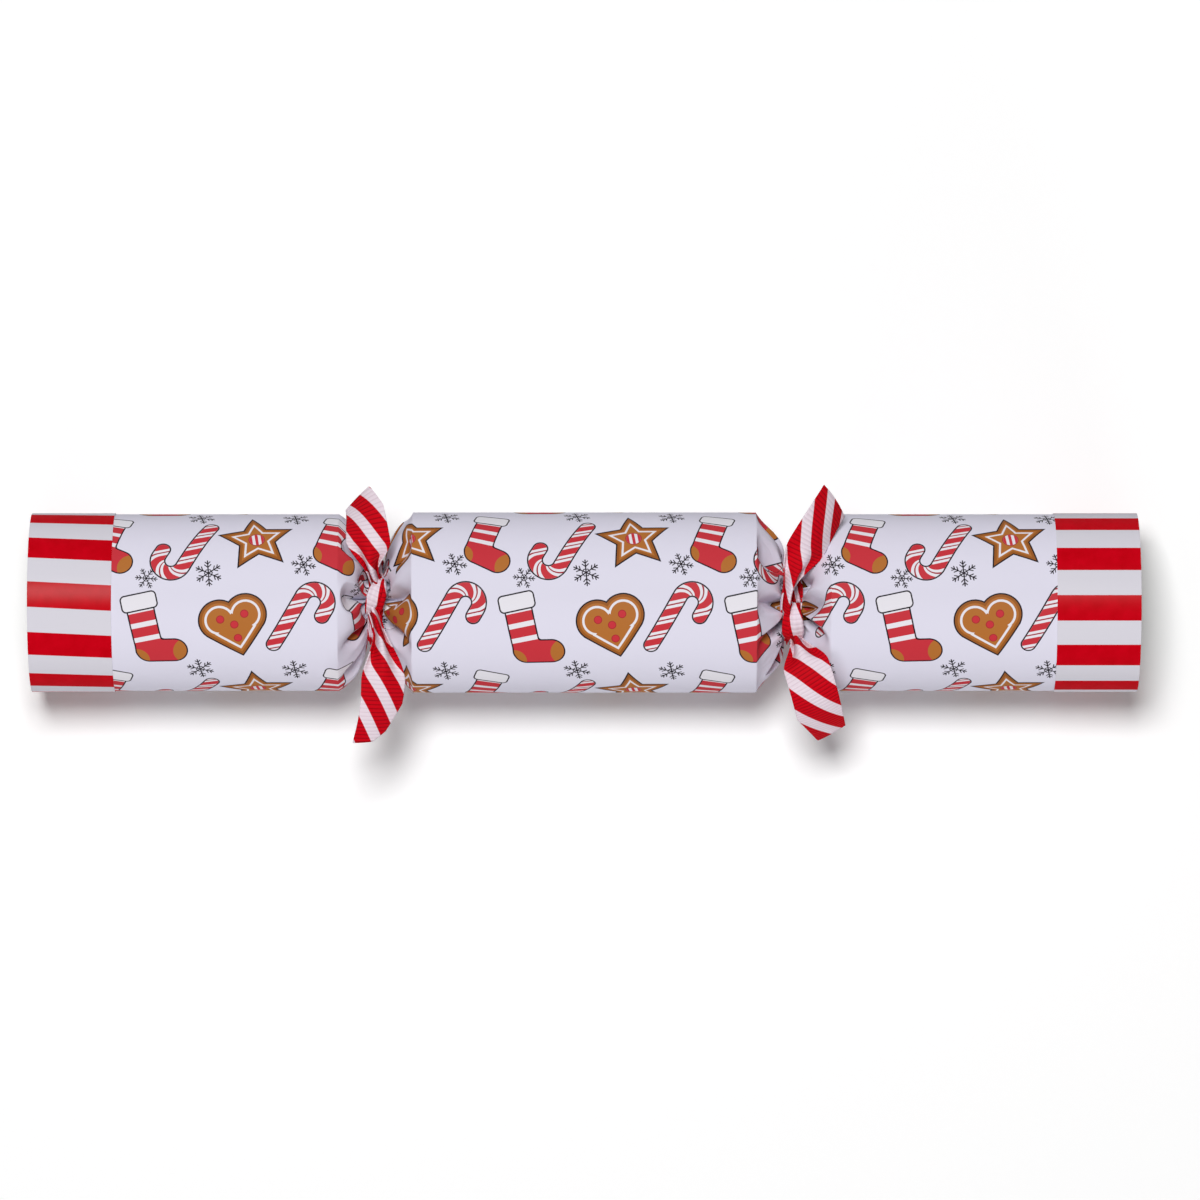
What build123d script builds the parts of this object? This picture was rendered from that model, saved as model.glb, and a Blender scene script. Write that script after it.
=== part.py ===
from build123d import *

import os
from math import acos, cos, degrees, hypot, radians, sin

# A christmas cracker lying on a table, in millimetres. +X runs along the cracker, +Z is up,
# and the origin is on the table under the middle of the barrel.

# Lengths along the cracker
barrel_length = 95.0
neck_length = 20.0
end_length = 85.0

# Radius of the barrel over its printed paper, and how much tighter the ends are rolled
barrel_radius = 25.0
end_tightness = 0.5

# Sheet thicknesses, and the layer of paste between two sheets
paper_thickness = 0.2
card_thickness = 0.6
paste_thickness = 0.05

# Gathered necks: pleats pulled in by the ribbon, straight under it, and torn just beside it
pleat_count = 14
pleat_hill_radius = 10.6
pleat_valley_radius = 5.4
tied_length = 5.0
tear_offset = 2.0
tear_gap = 0.1

# Striped bands glued round the open ends
band_width = 23.0

# Ribbons: a flat ribbon bunched into a loop and a knot, with two tails each
ribbon_width = 12.7
ribbon_thickness = 0.4
ribbon_bunched_width = 4.4
ribbon_loop_wall = 1.2
ribbon_slack = 0.1
knot_length = 11.0
knot_radius = 2.6
knot_end_radius = 1.2
knot_wrap_radius = 0.8
knot_wrap_lean = 30.0
tail_flare = 13.0
tail_arch_drop = 4.0
tail_tip_height = 11.5
tail_tuck = 1.5

# Where each knot sits round its neck, in degrees from the top towards +Y
left_knot_turn = 8.0
right_knot_turn = -26.0

# Tails: a bunched lead along Y, then a heading in degrees from Y towards +X, and the lengths of the
# two long edges from there
left_upper_tail = {"lead": 3.5, "heading": -11.0, "minus_x_edge": 19.0, "plus_x_edge": 23.0}
left_lower_tail = {"lead": 8.0, "heading": -7.0, "minus_x_edge": 28.0, "plus_x_edge": 17.0}
right_upper_tail = {"lead": 13.0, "heading": 31.0, "minus_x_edge": 22.0, "plus_x_edge": 18.0}
right_lower_tail = {"lead": 3.0, "heading": 18.0, "minus_x_edge": 25.5, "plus_x_edge": 24.5}

# Snap: two card strips that overlap in the barrel, a pad on each, and a paper sleeve
strip_width = 9.0
strip_thickness = 0.4
strip_setback = 12.0
strip_overlap = 50.0
pad_length = 18.0
pad_width = 7.0
pad_thickness = 0.2
pad_clearance = 0.1
sleeve_length = 40.0
sleeve_thickness = 0.15
sleeve_paste = 0.05
sleeve_clearance = 0.2

# Contents of the barrel, which lie beside each other at its bottom
contents_clearance = 0.35
gift_lane_turn = -34.5
top_disc_radius = 9.0
top_disc_thickness = 9.0
top_rim_thickness = 3.0
top_hub_radius = 4.0
top_peg_radius = 1.6
top_peg_length = 26.0
top_peg_point = 3.0
top_peg_clearance = 0.02
crown_length = 78.0
crown_radius = 6.2
crown_thickness = 0.4
crown_turns = 3
crown_point_depth = 9.0
rubber_band_section = 0.6
rubber_band_width = 1.6
rubber_band_slack = 0.05
motto_length = 60.0
motto_radius = 3.5
motto_thickness = 0.25
motto_turns = 2
roll_gap = 0.45

# Places along X that follow from the lengths
barrel_rim = barrel_length / 2
end_rim = barrel_rim + neck_length
open_end = end_rim + end_length
tie_inner = barrel_rim + (neck_length - tied_length) / 2
tie_outer = tie_inner + tied_length
tie_middle = (tie_inner + tie_outer) / 2
tear_line = tie_inner - tear_offset

# Radii and heights that follow from the layers
axis_height = barrel_radius
end_radius = barrel_radius - end_tightness
barrel_tube_radius = barrel_radius - paper_thickness - paste_thickness
end_tube_radius = end_radius - paper_thickness - paste_thickness
barrel_bore_radius = barrel_tube_radius - card_thickness
band_inner_radius = end_radius + paste_thickness
half_pleat = 180.0 / pleat_count
past_end = 5.0


def station(x):
    """Plane across the cracker at x, centred on its axis, with Y to the right and Z up."""
    return Plane(origin=(x, 0, axis_height), x_dir=(0, 1, 0), z_dir=(1, 0, 0))


def polar(radius, angle):
    """Point of a station at an angle in degrees."""
    return (radius * cos(radians(angle)), radius * sin(radians(angle)))


def pleat_inset(inset):
    """Share that is left of the pleats' outline once each side has moved in by the inset."""
    hill_y, hill_z = polar(pleat_hill_radius, half_pleat)
    side_length = hypot(hill_y - pleat_valley_radius, hill_z)
    side_distance = pleat_valley_radius * hill_z / side_length
    return (side_distance - inset) / side_distance


def rim_section(x, radius):
    """Circle at x, drawn as one arc for each side of a pleat."""
    with BuildSketch(station(x)) as section:
        with BuildLine():
            for side in range(2 * pleat_count):
                CenterArc((0, 0), radius, side * half_pleat, half_pleat)
        make_face()
    return section.sketch


def pleat_section(x, share):
    """Star of folded pleats at x, drawn to a share of its full size."""
    corners = []
    for side in range(2 * pleat_count):
        radius = pleat_hill_radius if side % 2 else pleat_valley_radius
        corners.append(polar(radius * share, side * half_pleat))
    with BuildSketch(station(x)) as section:
        with BuildLine():
            Polyline(*corners, close=True)
        make_face()
    return section.sketch


def wrapper_envelope(inset, overrun):
    """Solid inside the wrapper's outer face, or inside its inner face when inset by the paper."""
    share = pleat_inset(inset)
    with BuildPart() as envelope:
        extrude(rim_section(0, barrel_radius - inset), amount=barrel_rim - inset)
        loft(
            [
                rim_section(barrel_rim - inset, barrel_radius - inset),
                pleat_section(tie_inner - inset, share),
            ],
            ruled=True,
        )
        extrude(pleat_section(tie_inner - inset, share), amount=tied_length + 2 * inset)
        loft(
            [
                pleat_section(tie_outer + inset, share),
                rim_section(end_rim + inset, end_radius - inset),
            ],
            ruled=True,
        )
        extrude(
            rim_section(end_rim + inset, end_radius - inset),
            amount=end_length - inset + overrun,
        )
    return envelope.part


# Printed wrapper: one sheet pulled in at both necks, in the three sections it tears into
with BuildPart() as wrapper_half:
    add(wrapper_envelope(0, 0))
    add(wrapper_envelope(paper_thickness, past_end), mode=Mode.SUBTRACT)

with BuildPart() as barrel_wrapper:
    add(wrapper_half.part)
    split(bisect_by=station(tear_line - tear_gap / 2), keep=Keep.BOTTOM)
    mirror(about=Plane.YZ)
barrel_wrapper.part.label = "barrel_wrapper"

with BuildPart() as right_wrapper:
    add(wrapper_half.part)
    split(bisect_by=station(tear_line + tear_gap / 2), keep=Keep.TOP)
right_wrapper.part.label = "right_wrapper"

with BuildPart() as left_wrapper:
    mirror(right_wrapper.part, about=Plane.YZ)
left_wrapper.part.label = "left_wrapper"


# Card tubes that keep the barrel and the two ends round
with BuildPart() as barrel_card_tube:
    with BuildSketch(station(-barrel_rim + paper_thickness)):
        Circle(barrel_tube_radius)
        Circle(barrel_bore_radius, mode=Mode.SUBTRACT)
    extrude(amount=barrel_length - 2 * paper_thickness)
barrel_card_tube.part.label = "barrel_card_tube"

with BuildPart() as right_card_tube:
    with BuildSketch(station(end_rim + paper_thickness)):
        Circle(end_tube_radius)
        Circle(end_tube_radius - card_thickness, mode=Mode.SUBTRACT)
    extrude(amount=end_length - paper_thickness)
right_card_tube.part.label = "right_card_tube"

with BuildPart() as left_card_tube:
    mirror(right_card_tube.part, about=Plane.YZ)
left_card_tube.part.label = "left_card_tube"


# Striped paper bands glued flush with the open ends
with BuildPart() as right_striped_band:
    with BuildSketch(station(open_end - band_width)):
        Circle(band_inner_radius + paper_thickness)
        Circle(band_inner_radius, mode=Mode.SUBTRACT)
    extrude(amount=band_width)
right_striped_band.part.label = "right_striped_band"

with BuildPart() as left_striped_band:
    mirror(right_striped_band.part, about=Plane.YZ)
left_striped_band.part.label = "left_striped_band"


# Ribbons
loop_inner_radius = pleat_hill_radius + ribbon_slack
loop_outer_radius = loop_inner_radius + ribbon_loop_wall
tail_arch_height = end_radius - tail_arch_drop
knot_distance = loop_inner_radius + knot_wrap_radius + knot_radius


def knot_place(x, turn, along):
    """Y and Z of a point along the knot, which lies across the top of the loop at a turn."""
    angle = radians(turn)
    y = knot_distance * sin(angle) + along * cos(angle)
    z = axis_height + knot_distance * cos(angle) - along * sin(angle)
    return Vector(x, y, z)


def ribbon_tail(x, turn, side, tail):
    """Tail that leaves the knot towards side * Y, arches over the pleats and ends in a slanted cut."""
    start = knot_place(x, turn, side * (knot_length / 2 - tail_tuck))
    heading = radians(tail["heading"])
    edges = [tail["plus_x_edge"], tail["minus_x_edge"]][::side]
    half, pinch = ribbon_width / 2, ribbon_bunched_width / 2
    reach = tail["lead"] + max(edges) * cos(heading) + half * abs(sin(heading))
    foot = (start.Y, start.Z)
    top = (start.Y + side * reach / 2, axis_height + tail_arch_height)
    tip = (start.Y + side * reach, axis_height + tail_tip_height)
    arch = ThreePointArc(foot, top, tip)

    with BuildPart() as tail_part:
        with BuildSketch(Plane.YZ.offset(x)):
            with BuildLine():
                faces = []
                for way in (-1, 1):
                    radius = arch.radius + way * ribbon_thickness / 2
                    spokes = [(Vector(*point) - arch.arc_center).normalized() for point in (foot, top, tip)]
                    faces.append(ThreePointArc(*[arch.arc_center + spoke * radius for spoke in spokes]))
                Line(faces[0] @ 0, faces[1] @ 0)
                Line(faces[0] @ 1, faces[1] @ 1)
            make_face()
        extrude(amount=reach, both=True)

        with BuildSketch(Plane.XY):
            with Locations((x, start.Y + side * tail["lead"] / 2)):
                Rectangle(ribbon_bunched_width, tail["lead"])
            with Locations((x, start.Y + side * tail["lead"])):
                Circle(pinch)
                with BuildLine(mode=Mode.PRIVATE) as leaf:
                    Line((0, -pinch), (0, pinch))
                    TangentArc((tail_flare, half), (0, pinch), tangent=(-1, 0))
                    Polyline((tail_flare, half), (edges[1], half), (edges[0], -half), (tail_flare, -half))
                    TangentArc((tail_flare, -half), (0, -pinch), tangent=(-1, 0))
                with Locations(Rotation(0, 0, side * 90 - tail["heading"] * side)):
                    add(make_face(leaf.edges(), mode=Mode.PRIVATE))
        extrude(amount=2 * axis_height, mode=Mode.INTERSECT)
    return tail_part.part


def tied_ribbon(x, turn, upper_tail, lower_tail):
    """Loop round the pleats, knot with its crossing wrap, and two tails, all of one ribbon."""
    lean = radians(knot_wrap_lean)
    angle = radians(turn)
    across = (sin(lean), cos(lean) * cos(angle), -cos(lean) * sin(angle))
    tails = [ribbon_tail(x, turn, 1, upper_tail), ribbon_tail(x, turn, -1, lower_tail)]
    with BuildPart() as ribbon:
        with BuildSketch(station(x - ribbon_bunched_width / 2)):
            Circle(loop_outer_radius)
            Circle(loop_inner_radius, mode=Mode.SUBTRACT)
        extrude(amount=ribbon_bunched_width)

        middle = knot_place(x, turn, 0)
        knot_plane = Plane(origin=middle, x_dir=(0, cos(angle), -sin(angle)), z_dir=(1, 0, 0))
        with BuildSketch(knot_plane):
            with BuildLine():
                Polyline(
                    (-knot_length / 2, knot_end_radius),
                    (-knot_length / 2, 0),
                    (knot_length / 2, 0),
                    (knot_length / 2, knot_end_radius),
                )
                ThreePointArc(
                    (knot_length / 2, knot_end_radius),
                    (0, knot_radius),
                    (-knot_length / 2, knot_end_radius),
                )
            make_face()
        revolve(axis=Axis(middle, knot_plane.x_dir))
        with Locations(Plane(origin=middle, z_dir=across)):
            Torus(knot_radius, knot_wrap_radius)

        add(tails)
    return ribbon


left_ribbon = tied_ribbon(-tie_middle, left_knot_turn, left_upper_tail, left_lower_tail)
left_ribbon.part.label = "left_ribbon"

right_ribbon = tied_ribbon(tie_middle, right_knot_turn, right_upper_tail, right_lower_tail)
right_ribbon.part.label = "right_ribbon"


# Snap, along the axis: the left strip lies below the right strip, with the pads between them
pad_space = 2 * pad_thickness + pad_clearance
strip_outer = open_end - strip_setback
left_strip_top = axis_height - pad_space / 2
right_strip_bottom = axis_height + pad_space / 2

with BuildPart() as left_snap_strip:
    with BuildSketch(Plane.XY.offset(left_strip_top - strip_thickness)):
        with Locations(((strip_overlap / 2 - strip_outer) / 2, 0)):
            Rectangle(strip_outer + strip_overlap / 2, strip_width)
    extrude(amount=strip_thickness)
left_snap_strip.part.label = "left_snap_strip"

with BuildPart() as right_snap_strip:
    with BuildSketch(Plane.XY.offset(right_strip_bottom)):
        with Locations(((strip_outer - strip_overlap / 2) / 2, 0)):
            Rectangle(strip_outer + strip_overlap / 2, strip_width)
    extrude(amount=strip_thickness)
right_snap_strip.part.label = "right_snap_strip"

with BuildPart() as snap_charge_pad:
    with BuildSketch(Plane.XY.offset(left_strip_top)):
        Rectangle(pad_length, pad_width)
    extrude(amount=pad_thickness)
snap_charge_pad.part.label = "snap_charge_pad"

with BuildPart() as snap_friction_pad:
    with BuildSketch(Plane.XY.offset(right_strip_bottom - pad_thickness)):
        Rectangle(pad_length, pad_width)
    extrude(amount=pad_thickness)
snap_friction_pad.part.label = "snap_friction_pad"

sleeve_bottom = left_strip_top - strip_thickness - sleeve_paste
sleeve_top = right_strip_bottom + strip_thickness + sleeve_clearance
sleeve_middle = (sleeve_bottom + sleeve_top) / 2 - axis_height
sleeve_inner_width = strip_width + 2 * sleeve_clearance
sleeve_inner_height = sleeve_top - sleeve_bottom

with BuildPart() as snap_sleeve:
    with BuildSketch(station(-sleeve_length / 2)):
        with Locations((0, sleeve_middle)):
            Rectangle(sleeve_inner_width + 2 * sleeve_thickness, sleeve_inner_height + 2 * sleeve_thickness)
            Rectangle(sleeve_inner_width, sleeve_inner_height, mode=Mode.SUBTRACT)
    extrude(amount=sleeve_length)
snap_sleeve.part.label = "snap_sleeve"


# Contents: each lies against the barrel's tube, the crown and the motto leaning on the gift
rolled_crown_radius = crown_radius + rubber_band_slack + rubber_band_section


def lane_distance(radius):
    """Distance from the cracker's axis to the middle of a roll that lies on the barrel's tube."""
    return barrel_bore_radius - contents_clearance - radius


def leaning_turn(radius, other_radius):
    """Angle between two rolls that lie on the barrel's tube and lean on each other."""
    a, b = lane_distance(radius), lane_distance(other_radius)
    apart = radius + other_radius + contents_clearance
    return degrees(acos((a * a + b * b - apart * apart) / (2 * a * b)))


def lane(x, radius, turn):
    """Plane across the cracker at x, centred on a roll at a turn from the bottom towards +Y."""
    distance = lane_distance(radius)
    y = distance * sin(radians(turn))
    z = axis_height - distance * cos(radians(turn))
    return Plane(origin=(x, y, z), x_dir=(0, 1, 0), z_dir=(1, 0, 0))


crown_lane_turn = gift_lane_turn + leaning_turn(top_disc_radius, rolled_crown_radius)
motto_lane_turn = gift_lane_turn - leaning_turn(top_disc_radius, motto_radius)


def rolled_sheet(plane, length, outer_radius, thickness, turns):
    """Sheet rolled into a spiral of half circles, each smaller than the last by half a pitch."""
    step = (thickness + roll_gap) / 2
    outer_ends, inner_ends = [], []
    radius, middle, way = outer_radius - step / 2, step / 2, 1
    with BuildPart() as roll:
        with BuildSketch(plane):
            with BuildLine():
                for half_turn in range(2 * turns):
                    for edge, ends in ((radius, outer_ends), (radius - thickness, inner_ends)):
                        first = (middle - way * edge, 0)
                        last = (middle + way * edge, 0)
                        ThreePointArc(first, (middle, way * edge), last)
                        ends += [first, last]
                    middle += way * step
                    radius -= step
                    way = -way
                Line(outer_ends[0], inner_ends[0])
                Line(outer_ends[-1], inner_ends[-1])
            make_face()
        extrude(amount=length)
    return roll.part


crown_roll = rolled_sheet(
    lane(-crown_length / 2, rolled_crown_radius, crown_lane_turn),
    crown_length,
    crown_radius,
    crown_thickness,
    crown_turns,
)
crown_tip = lane(crown_length / 2, rolled_crown_radius, crown_lane_turn).origin
with BuildPart() as paper_crown:
    add(crown_roll)
    for notch_direction in ((0, 1, 0), (0, 0, 1)):
        with BuildSketch(Plane(origin=crown_tip, x_dir=(1, 0, 0), z_dir=notch_direction)):
            with BuildLine():
                Polyline(
                    (0, crown_radius / 2),
                    (-crown_point_depth, 0),
                    (0, -crown_radius / 2),
                    close=True,
                )
            make_face()
        extrude(amount=2 * crown_radius, both=True, mode=Mode.SUBTRACT)
paper_crown.part.label = "paper_crown"

with BuildPart() as crown_rubber_band:
    with BuildSketch(lane(-rubber_band_width / 2, rolled_crown_radius, crown_lane_turn)):
        Circle(rolled_crown_radius)
        Circle(crown_radius + rubber_band_slack, mode=Mode.SUBTRACT)
    extrude(amount=rubber_band_width)
crown_rubber_band.part.label = "crown_rubber_band"

motto_roll = rolled_sheet(
    lane(-motto_length / 2, motto_radius, motto_lane_turn),
    motto_length,
    motto_radius,
    motto_thickness,
    motto_turns,
)
with BuildPart() as motto_slip:
    add(motto_roll)
motto_slip.part.label = "motto_slip"

gift_lane = lane(0, top_disc_radius, gift_lane_turn)
gift_axis = Axis(gift_lane.origin, (1, 0, 0))
gift_profile_plane = Plane(origin=gift_lane.origin, x_dir=(1, 0, 0), z_dir=(0, -1, 0))

with BuildPart() as top_disc:
    with BuildSketch(gift_profile_plane):
        with BuildLine():
            Polyline(
                (-top_disc_thickness / 2, top_peg_radius + top_peg_clearance),
                (-top_disc_thickness / 2, top_hub_radius),
                (-top_rim_thickness / 2, top_disc_radius),
                (top_rim_thickness / 2, top_disc_radius),
                (top_disc_thickness / 2, top_hub_radius),
                (top_disc_thickness / 2, top_peg_radius + top_peg_clearance),
                close=True,
            )
        make_face()
    revolve(axis=gift_axis)
top_disc.part.label = "gift_top_disc"

with BuildPart() as top_peg:
    with BuildSketch(gift_profile_plane):
        with BuildLine():
            Polyline(
                (-top_peg_length / 2, 0),
                (-top_peg_length / 2, top_peg_radius),
                (top_peg_length / 2 - top_peg_point, top_peg_radius),
                (top_peg_length / 2, 0),
                close=True,
            )
        make_face()
    revolve(axis=gift_axis)
top_peg.part.label = "gift_top_peg"


# One file for each piece
pieces = [
    barrel_wrapper,
    left_wrapper,
    right_wrapper,
    barrel_card_tube,
    left_card_tube,
    right_card_tube,
    left_striped_band,
    right_striped_band,
    left_ribbon,
    right_ribbon,
    left_snap_strip,
    right_snap_strip,
    snap_charge_pad,
    snap_friction_pad,
    snap_sleeve,
    paper_crown,
    crown_rubber_band,
    motto_slip,
    top_disc,
    top_peg,
]
os.makedirs("parts", exist_ok=True)
for piece in pieces:
    export_step(piece.part, f"parts/{piece.part.label}.step")
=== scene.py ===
import bpy
import numpy as np
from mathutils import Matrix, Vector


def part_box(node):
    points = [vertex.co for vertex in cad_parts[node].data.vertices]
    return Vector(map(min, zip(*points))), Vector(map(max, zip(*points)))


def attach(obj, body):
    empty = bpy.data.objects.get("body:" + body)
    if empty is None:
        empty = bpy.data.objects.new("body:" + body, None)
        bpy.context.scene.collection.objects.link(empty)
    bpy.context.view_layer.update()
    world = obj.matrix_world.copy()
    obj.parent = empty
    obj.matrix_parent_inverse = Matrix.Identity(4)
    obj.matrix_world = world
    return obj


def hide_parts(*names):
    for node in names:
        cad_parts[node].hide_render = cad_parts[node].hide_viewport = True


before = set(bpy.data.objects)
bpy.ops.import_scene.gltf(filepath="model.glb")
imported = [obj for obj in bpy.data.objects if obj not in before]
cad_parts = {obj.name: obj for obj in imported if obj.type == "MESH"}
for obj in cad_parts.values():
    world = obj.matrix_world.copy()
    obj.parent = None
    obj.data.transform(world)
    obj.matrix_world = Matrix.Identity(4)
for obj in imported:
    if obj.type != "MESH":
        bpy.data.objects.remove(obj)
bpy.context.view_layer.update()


# Card tubes
# Three tubes of grey-white board keep the barrel and the two ends round. Each is rolled from a strip of
# card and glued along a seam, so it stays as the rigid tube that it is and gets a fibrous card finish.
MM = 0.001


def put(tree, kind, *values, **settings):
    """Add a shader node, set its options, feed its inputs in order from shades or plain values, and
    give back its first output that is in use."""
    node = tree.nodes.new("ShaderNode" + kind)
    for name, value in settings.items():
        setattr(node, name, value)
    sockets = [socket for socket in node.inputs if socket.enabled]
    for socket, value in zip(sockets, values):
        if isinstance(value, Shade):
            tree.links.new(value.socket, socket)
        elif value is not None:
            socket.default_value = value
    return Shade(tree, next(socket for socket in node.outputs if socket.enabled))


class Shade:
    """A number, a place or a colour that shader nodes work out at each point of a surface. The usual
    signs add nodes to its tree. Where the numbers are distances to shapes, & keeps what two shapes
    share, by the larger number, and | joins them, by the smaller one."""

    def __init__(self, tree, socket):
        self.tree, self.socket = tree, socket

    def output(self, name):
        """Another output of the same node."""
        return Shade(self.tree, self.socket.node.outputs[name])

    def feed(self, node, name):
        """Link it to a named input of a node."""
        self.tree.links.new(self.socket, node.inputs[name])

    def step(self, operation, *values, **settings):
        """The result of one operation on numbers or, if this is a place, on places."""
        kind = "VectorMath" if self.socket.type == "VECTOR" else "Math"
        return put(self.tree, kind, self, *values, operation=operation, **settings)

    def __add__(self, value):
        return self.step("ADD", value)

    def __sub__(self, value):
        return self.step("SUBTRACT", value)

    def __rsub__(self, value):
        return put(self.tree, "Math", value, self, operation="SUBTRACT")

    def __mul__(self, value):
        return self.step("MULTIPLY", value)

    def __and__(self, value):
        return self.step("MAXIMUM", value)

    def __or__(self, value):
        return self.step("MINIMUM", value)

    def __abs__(self):
        return self.step("ABSOLUTE")

    def split(self):
        """The first two coordinates of a place."""
        x = put(self.tree, "SeparateXYZ", self)
        return x, x.output("Y")

    def ramp(self, low, high, start=0.0, end=1.0):
        """From the start to the end as this goes from low to high, and level beyond."""
        return put(self.tree, "MapRange", self, low, high, start, end)

    def choose(self, first, second):
        """From a first number to a second one as this goes from 0 to 1."""
        return put(self.tree, "Mix", self, first, second)

    def blend(self, first, second):
        """From a first colour to a second one as this goes from 0 to 1."""
        return put(self.tree, "Mix", self, first, second, data_type="RGBA")

    def noise(self, scale, detail, roughness):
        """Clouds over a place, so many to each unit of length."""
        return put(self.tree, "TexNoise", self, scale, detail, roughness)


def tint(red, green, blue):
    """Colour of a surface from its everyday 0 to 255 values, made linear."""
    share = np.array([red, green, blue]) / 255
    linear = np.where(share > 0.04045, ((share + 0.055) / 1.055) ** 2.4, share / 12.92)
    return (*linear.tolist(), 1.0)


def new_finish(name, **sockets):
    """New material with plain values set straight on its shader's sockets. Gives the material, the
    shader, and the place of a point on the piece, in metres."""
    material = bpy.data.materials.new(name)
    material.use_nodes = True
    shader = material.node_tree.nodes["Principled BSDF"]
    for socket, value in sockets.items():
        shader.inputs[socket.replace("_", " ")].default_value = value
    return material, shader, put(material.node_tree, "TexCoord").output("Object")


def grain_bump(shader, height, strength, depth_mm):
    """Bump the shader by a height, over a depth in millimetres."""
    put(height.tree, "Bump", strength, depth_mm * MM, None, height).feed(shader, "Normal")


def refinish(node_name, finish):
    """Give a CAD piece its finish in place of the plain one."""
    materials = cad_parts[node_name].data.materials
    materials.clear()
    materials.append(finish)


def card_finish(name, light, dark, speck_scale):
    """Uncoated card: two tones of fibre specks, a few long fibres, and a faint tooth."""
    material, shader, place = new_finish(name, Roughness=0.85)
    specks = place.noise(speck_scale, 6.0, 0.7)
    fibres = (place * (0.15, 1.0, 1.0)).noise(speck_scale * 0.6, 3.0, 0.6)
    mixed = specks * fibres
    mixed.ramp(0.15, 0.40).blend(dark, light).feed(shader, "Base Color")
    grain_bump(shader, mixed, 0.5, 0.08)
    return material


tube_card = card_finish("tube_card", tint(226, 222, 214), tint(188, 183, 174), 900.0)
for node_name in ("barrel_card_tube", "left_card_tube", "right_card_tube"):
    refinish(node_name, tube_card)


# Printed wrapper
# One sheet of satin paper, rolled round the three tubes with a glued lap underneath, and drawn in by the
# ribbons to two gathered necks, where it tears in three when the cracker is pulled.
sheet_thickness = 0.1
lap_width = 10.0
lap_lift = 0.12
seam_at = np.radians(200)
neck_paper = 41.0
tear_paper = 14.4
tear_jag = 0.55
tear_waves = 9
gather_start = 0.3
gather_depth = 2.5
tie_radius = 10.4
tie_half_width = 2.3
core_radius = 4.9
shoulder_drop = 0.45

barrel_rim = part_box("barrel_card_tube")[1].x / MM
end_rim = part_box("right_card_tube")[0].x / MM
open_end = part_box("right_card_tube")[1].x / MM
axis_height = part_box("barrel_wrapper")[1].z / MM / 2
barrel_radius = axis_height - lap_lift
end_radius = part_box("right_wrapper")[1].z / MM - axis_height - lap_lift
tie_middle = (barrel_rim + end_rim) / 2
half_neck = (end_rim - barrel_rim) / 2
girth = np.pi * (barrel_radius + end_radius)


def smooth(value):
    """Ease from 0 to 1."""
    value = np.clip(value, 0, 1)
    return value * value * (3 - 2 * value)


def unit(vectors):
    """Vectors of the same directions and of length 1."""
    return vectors / (np.linalg.norm(vectors, axis=-1, keepdims=True) + 1e-12)


def pull(here, there, length, share):
    """Step that brings pairs of points to their rest length apart, half for each of the pair."""
    apart = there - here
    distance = np.linalg.norm(apart, axis=-1, keepdims=True) + 1e-9
    return apart * (0.5 * share * (1 - length / distance))


def settle_paper(points, row_step, column_step, closing, stiffness, steps):
    """Relax a grid of paper between two rims. Its rows and columns keep their lengths and its squares
    their corners, its curvature evens out, and the tie draws in what passes through it. Neighbours keep
    their order round the neck, so no fold passes through another. The paper is creased at the barrel's
    rim and leaves the end's tube straight. While closing, the rims move from the uncut length of paper
    to their places and the tie shrinks."""
    columns = points.shape[1]
    turns = np.arange(columns) * 2 * np.pi / columns
    turn_step = 2 * np.pi / columns
    corner_step = np.hypot(row_step, column_step)
    held = [0, -2, -1] if closing else [0, -1]
    rims = points[[0, -2, -1]].copy()
    rims[1, :, 1:] = rims[2, :, 1:] * (1 - shoulder_drop / end_radius)
    widest = max(barrel_radius, end_radius)
    rim_start = abs(rims[0, 0, 0])
    closing_share = 0.65
    corner_pull = 0.6
    stride = 0.4
    grip = 0.7
    least_gap = 0.2
    for step in range(steps):
        share = min(1.0, (step + 1) / (closing_share * steps)) if closing else 1.0
        ease = smooth(share)
        rim = rim_start + (half_neck - rim_start) * ease
        rims[:, :, 0] = np.array([-rim, rim - row_step, rim])[:, None]
        tie = widest + (tie_radius - widest) * ease
        points[held] = rims if closing else rims[[0, 2]]
        move = np.zeros_like(points)
        beside = np.roll(points, -1, 1)
        drawn = pull(points[:-1], points[1:], row_step, 1.0)
        move[:-1] += drawn
        move[1:] -= drawn
        drawn = pull(points, beside, column_step, 1.0)
        move += drawn - np.roll(drawn, 1, 1)
        drawn = pull(points[:-1], beside[1:], corner_step, corner_pull)
        move[:-1] += drawn
        move[1:] -= np.roll(drawn, 1, 1)
        drawn = pull(beside[:-1], points[1:], corner_step, corner_pull)
        move[1:] -= drawn
        move[:-1] += np.roll(drawn, 1, 1)
        bow = 0.5 * (np.roll(points, 1, 1) + beside) - points
        move -= stiffness * (0.5 * (np.roll(bow, 1, 1) + np.roll(bow, -1, 1)) - bow)
        bow = 0.5 * (points[:-2] + points[2:]) - points[1:-1]
        move[2:-2] -= stiffness * (0.5 * (bow[:-2] + bow[2:]) - bow[1:-1])
        points = points + stride * move
        points[..., 0] = np.clip(points[..., 0], -rim, rim)
        radius = np.hypot(points[..., 1], points[..., 2]) + 1e-9
        reach = np.where(np.abs(points[..., 0]) < tie_half_width, tie, widest)
        radius += grip * (np.clip(radius, core_radius, reach) - radius)
        shift = np.arctan2(points[..., 1], points[..., 2]) - turns
        shift -= 2 * np.pi * np.round(shift / (2 * np.pi))
        for _ in range(3):
            short = 0.5 * np.maximum(turn_step * (least_gap - 1) - np.roll(shift, -1, 1) + shift, 0)
            shift += np.roll(short, 1, 1) - short
        points[..., 1] = radius * np.sin(turns + shift)
        points[..., 2] = radius * np.cos(turns + shift)
    points[[0, -1]] = rims[[0, 2]]
    return points


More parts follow.
